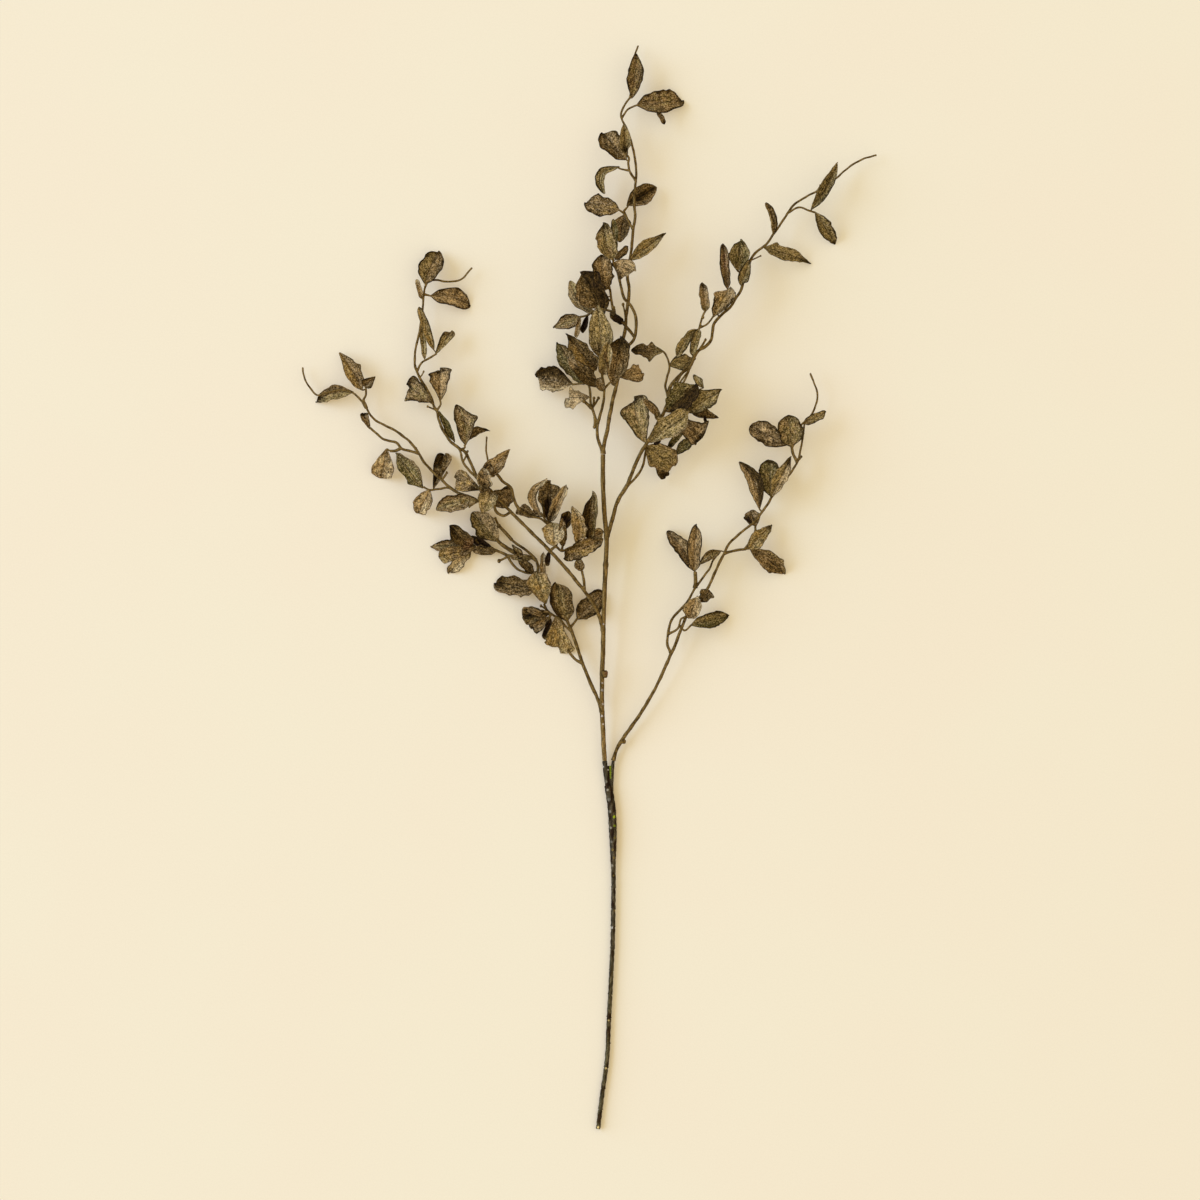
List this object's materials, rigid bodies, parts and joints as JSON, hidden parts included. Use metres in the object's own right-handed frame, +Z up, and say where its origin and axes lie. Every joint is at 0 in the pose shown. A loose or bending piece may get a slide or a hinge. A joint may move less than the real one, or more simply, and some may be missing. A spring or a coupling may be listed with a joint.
{
  "type": "eucalyptus stem",
  "caption": "Dried-look eucalyptus stem that lies flat, with a dark bound lower stem forking into brown twigs with small curled oval leaves.",
  "frame": {"origin": "middle of the underside's bounding box, on the surface that the stem lies on", "axes": "+X to the right and +Y from the cut end to the tip, as seen from above; +Z up"},
  "size_m": [0.5742, 1.0844, 0.0586],
  "materials": {
    "lower_stem": "matte dark bark with a bound stretch",
    "main_stem": "matte brown bark",
    "leaves": "matte, grainy, olive to golden brown"
  },
  "bodies": {
    "root": {"lower_stem": "lower_stem", "main_stem": "main_stem", "centre_spray": "leaves", "upper_right_spray": "leaves", "lower_right_spray": "leaves", "left_spray": "leaves", "lower_left_spray": "leaves"}
  },
  "joints": []
}
